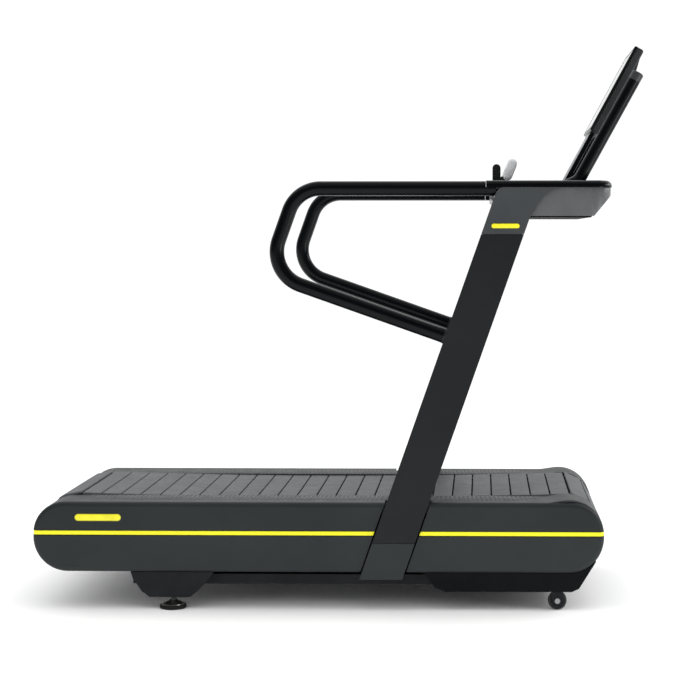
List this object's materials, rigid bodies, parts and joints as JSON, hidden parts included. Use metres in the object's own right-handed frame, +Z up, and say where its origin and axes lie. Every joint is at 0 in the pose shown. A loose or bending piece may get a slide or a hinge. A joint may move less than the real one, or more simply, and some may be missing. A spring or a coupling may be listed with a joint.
{
  "type": "curved manual treadmill",
  "caption": "Self-powered treadmill with a slightly hollow slat belt, leaning uprights, looped handrails, resistance lever, push handles and a tilted display.",
  "frame": {"origin": "centre of the bounding box at floor level", "axes": "+X to the front (console end), +Y to the runner's left, +Z up"},
  "size_m": [1.8484, 0.8304, 1.7074],
  "materials": {
    "frame_steel": "satin black powder coat",
    "cover_upper": "fine textured dark grey",
    "cover_lower": "fine textured dark grey",
    "accent": "bright yellow",
    "foot_rail": "grey, ribbed",
    "slat": "grey rubber on aluminium",
    "bare_steel": "ground",
    "track_plate": "mill finish",
    "drive_belt": "black",
    "pulley": "cast",
    "brake_disc": "turned",
    "upright": "matt black",
    "head_cover": "satin dark grey",
    "handrail": "satin black",
    "console": "satin grey",
    "console_dark": "black",
    "lever_black": "black",
    "lever_grip": "light grey",
    "display_back": "dark grey",
    "display_front": "black glass",
    "stand": "light grey",
    "foot_rubber": "black",
    "wheel": "black",
    "zinc": "zinc plated",
    "handle_cap": "dark grey"
  },
  "bodies": {
    "frame": {"frame_rail_left": "frame_steel", "frame_rail_right": "frame_steel", "cross_members": "frame_steel", "rear_foot_bracket_left": "frame_steel", "rear_foot_bracket_right": "frame_steel", "foot_lock_nuts": "zinc", "wheel_brackets": "frame_steel", "wheel_axles": "bare_steel", "front_lower_cover": "console_dark", "side_cover_upper_left": "cover_upper", "side_cover_upper_right": "cover_upper", "side_cover_lower_left": "cover_lower", "side_cover_lower_right": "cover_lower", "stripe_left": "accent", "stripe_right": "accent", "foot_rail_left": "foot_rail", "foot_rail_right": "foot_rail", "track_left": "track_plate", "track_right": "track_plate", "guide_rollers": "console_dark", "bearing_blocks": "frame_steel", "drive_belt_left": "drive_belt", "drive_belt_right": "drive_belt", "brake_bracket": "frame_steel", "step_up_belt": "drive_belt", "yoke_pivot_pin": "bare_steel", "upright_left": "upright", "upright_right": "upright", "foot_cover_left": "cover_lower", "foot_cover_right": "cover_lower", "head_cover_left": "head_cover", "head_cover_right": "head_cover", "handrail_left": "handrail", "handrail_right": "handrail", "console_tray": "console", "console_rim": "handrail", "console_under_cover": "console_dark", "electronics_box": "console_dark", "lever_base": "lever_black", "push_handles": "handrail", "push_handle_caps": "handle_cap", "display_stand": "stand", "display_housing": "display_back", "display_screen": "display_front", "badges": "accent"},
    "belt_upper": {"slats_upper": "slat"},
    "belt_front_end": {"slats_front": "slat"},
    "belt_lower": {"slats_lower": "slat"},
    "belt_rear_end": {"slats_rear": "slat"},
    "front_axle": {"front_shaft": "bare_steel", "front_pulleys": "pulley"},
    "rear_axle": {"rear_shaft": "bare_steel", "rear_pulleys": "pulley"},
    "brake_rotor": {"brake_disc": "brake_disc"},
    "brake_yoke": {"magnet_yoke": "frame_steel"},
    "resistance_lever": {"lever_handle": "lever_grip"},
    "wheel_left": {"front_wheel_left": "wheel"},
    "wheel_right": {"front_wheel_right": "wheel"},
    "foot_left": {"levelling_foot_left": "foot_rubber"},
    "foot_right": {"levelling_foot_right": "foot_rubber"}
  },
  "joints": [
    {"name": "belt_run", "type": "slide", "parent": "frame", "child": "belt_lower", "axis": [1, 0, 0], "range_m": [-0.02, 0.04]},
    {"name": "belt_deck", "type": "hinge", "parent": "frame", "child": "belt_upper", "pos_m": [-0.0685, 0, 23.65404], "axis": [0, 1, 0], "range_deg": [-0.04924, 0.09833]},
    {"name": "belt_turn_front", "type": "hinge", "parent": "frame", "child": "belt_front_end", "pos_m": [0.6815, 0, 0.22855], "axis": [0, 1, 0], "range_deg": [-24.05, 12.04]},
    {"name": "belt_turn_rear", "type": "hinge", "parent": "frame", "child": "belt_rear_end", "pos_m": [-0.8185, 0, 0.22855], "axis": [0, 1, 0], "range_deg": [-24.05, 12.04]},
    {"name": "front_shaft_spin", "type": "hinge", "parent": "frame", "child": "front_axle", "pos_m": [0.6815, 0, 0.22855], "axis": [0, 1, 0], "range_deg": [-24.05, 12.04]},
    {"name": "rear_shaft_spin", "type": "hinge", "parent": "frame", "child": "rear_axle", "pos_m": [-0.8185, 0, 0.22855], "axis": [0, 1, 0], "range_deg": [-24.05, 12.04]},
    {"name": "brake_spin", "type": "hinge", "parent": "frame", "child": "brake_rotor", "pos_m": [0.4815, 0, 0.22855], "axis": [0, 1, 0], "range_deg": [-72.14, 36.12]},
    {"name": "lever_tilt", "type": "hinge", "parent": "frame", "child": "resistance_lever", "pos_m": [0.475, 0, 1.29], "axis": [0, 1, 0], "range_deg": [-12, 25]},
    {"name": "yoke_swing", "type": "hinge", "parent": "frame", "child": "brake_yoke", "pos_m": [0.3855, 0.366, 0.24655], "axis": [0, 1, 0], "range_deg": [-5, 10.2]},
    {"name": "wheel_left_spin", "type": "hinge", "parent": "frame", "child": "wheel_left", "pos_m": [0.648, 0.366, 0.028], "axis": [0, 1, 0], "continuous": true},
    {"name": "wheel_right_spin", "type": "hinge", "parent": "frame", "child": "wheel_right", "pos_m": [0.648, -0.366, 0.028], "axis": [0, 1, 0], "continuous": true},
    {"name": "foot_left_screw", "type": "slide", "parent": "frame", "child": "foot_left", "axis": [0, 0, 1], "range_m": [-0.012, 0.008]},
    {"name": "foot_right_screw", "type": "slide", "parent": "frame", "child": "foot_right", "axis": [0, 0, 1], "range_m": [-0.012, 0.008]}
  ],
  "couplings": [
    {"joint": "belt_deck", "follows": "belt_run", "rad_per_m": 0.042841},
    {"joint": "belt_turn_front", "follows": "belt_run", "rad_per_m": -10.476},
    {"joint": "belt_turn_rear", "follows": "belt_run", "rad_per_m": -10.476},
    {"joint": "front_shaft_spin", "follows": "belt_run", "rad_per_m": -10.476},
    {"joint": "rear_shaft_spin", "follows": "belt_run", "rad_per_m": -10.476},
    {"joint": "brake_spin", "follows": "belt_run", "rad_per_m": -31.429},
    {"joint": "yoke_swing", "follows": "lever_tilt", "ratio": 0.4}
  ]
}
